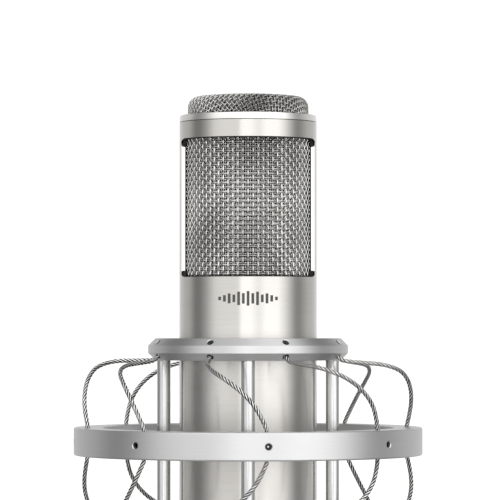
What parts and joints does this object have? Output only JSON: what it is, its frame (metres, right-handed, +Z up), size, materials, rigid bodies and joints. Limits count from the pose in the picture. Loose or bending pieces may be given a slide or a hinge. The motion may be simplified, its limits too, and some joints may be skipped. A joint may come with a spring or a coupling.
{
  "type": "condenser microphone",
  "caption": "Side-address studio microphone with a woven grille, held in a wire-rope shock mount that tilts on a threaded stand socket.",
  "frame": {"origin": "centre of the stand socket's lower end face", "axes": "+Z up along the microphone, -Y the microphone's front, +X to the right seen from the front"},
  "size_m": [0.1216, 0.1478, 0.1949],
  "materials": {
    "champagne_steel": "fine horizontal brushing, warm nickel tone",
    "satin_aluminium": "satin turned aluminium",
    "polished_rod": "bright polished",
    "grille_wire": "woven wire, satin",
    "rope_wire": "stranded steel wire rope",
    "black_rubber": "matt",
    "dark_steel": "black oxide",
    "brass": "machined",
    "gold": "gold plated",
    "black_plastic": "moulded, fine texture",
    "circuit_board": "solder mask"
  },
  "bodies": {
    "stand_base": {"stand_socket": "satin_aluminium", "friction_washer_left": "black_rubber", "friction_washer_right": "black_rubber", "tilt_bolt": "dark_steel"},
    "tilt_knob": {"tilt_knob": "black_plastic"},
    "thread_adapter": {"thread_adapter": "brass"},
    "suspension_frame": {"outer_ring": "satin_aluminium", "rear_arm": "satin_aluminium", "arm_screw_left": "dark_steel", "arm_screw_right": "dark_steel", "wire_rope_1": "rope_wire", "wire_rope_2": "rope_wire", "wire_rope_3": "rope_wire", "wire_rope_4": "rope_wire", "wire_rope_5": "rope_wire", "wire_rope_6": "rope_wire", "wire_rope_7": "rope_wire", "wire_rope_8": "rope_wire", "rope_set_screw_1": "dark_steel", "rope_set_screw_2": "dark_steel", "rope_set_screw_3": "dark_steel", "rope_set_screw_4": "dark_steel", "rope_set_screw_5": "dark_steel", "rope_set_screw_6": "dark_steel", "rope_set_screw_7": "dark_steel", "rope_set_screw_8": "dark_steel"},
    "cage": {"upper_ring": "satin_aluminium", "lower_ring": "satin_aluminium", "cage_rod_1": "polished_rod", "cage_rod_2": "polished_rod", "cage_rod_3": "polished_rod", "cage_rod_4": "polished_rod"},
    "ring_nut": {"ring_nut": "satin_aluminium"},
    "microphone": {"housing_tube": "champagne_steel", "cap_ring": "champagne_steel", "top_grille": "grille_wire", "side_grille": "grille_wire", "base_cap": "champagne_steel", "base_screw_left": "dark_steel", "base_screw_right": "dark_steel", "xlr_insert": "black_plastic", "xlr_pin_1": "gold", "xlr_pin_2": "gold", "xlr_pin_3": "gold", "circuit_board": "circuit_board", "output_transformer": "dark_steel", "coupling_capacitor": "brass", "chassis_rail_left": "dark_steel", "chassis_rail_right": "dark_steel", "capsule_isolator": "black_rubber", "capsule_saddle": "black_plastic", "capsule_backplate": "brass", "diaphragm_front": "gold", "diaphragm_rear": "gold", "clamp_ring_front": "brass", "clamp_ring_rear": "brass", "head_deck": "satin_aluminium", "inner_screen": "grille_wire", "basket_seat_lower": "black_rubber", "basket_seat_upper": "black_rubber"}
  },
  "joints": [
    {"name": "stand_tilt", "type": "hinge", "parent": "stand_base", "child": "suspension_frame", "pos_m": [0, 0, 0.034], "axis": [1, 0, 0], "range_deg": [-90, 45]},
    {"name": "tilt_knob_turn", "type": "hinge", "parent": "stand_base", "child": "tilt_knob", "pos_m": [0, 0, 0.034], "axis": [1, 0, 0], "range_deg": [0, 360]},
    {"name": "thread_adapter_out", "type": "slide", "parent": "stand_base", "child": "thread_adapter", "axis": [0, 0, -1], "range_m": [0, 0.02]},
    {"name": "suspension_bounce", "type": "slide", "parent": "suspension_frame", "child": "cage", "axis": [0, 0, 1], "range_m": [-0.003, 0.003], "stiffness_N_per_m": 2500, "springref_m": 0.0023, "deforming": ["wire_rope_1", "wire_rope_2", "wire_rope_3", "wire_rope_4", "wire_rope_5", "wire_rope_6", "wire_rope_7", "wire_rope_8"]},
    {"name": "mic_lift_out", "type": "slide", "parent": "cage", "child": "microphone", "axis": [0, 0, 1], "range_m": [0, 0.085]},
    {"name": "ring_nut_turn", "type": "hinge", "parent": "cage", "child": "ring_nut", "pos_m": [0, -0.072, 0.034], "axis": [0, 0, 1], "continuous": true}
  ]
}
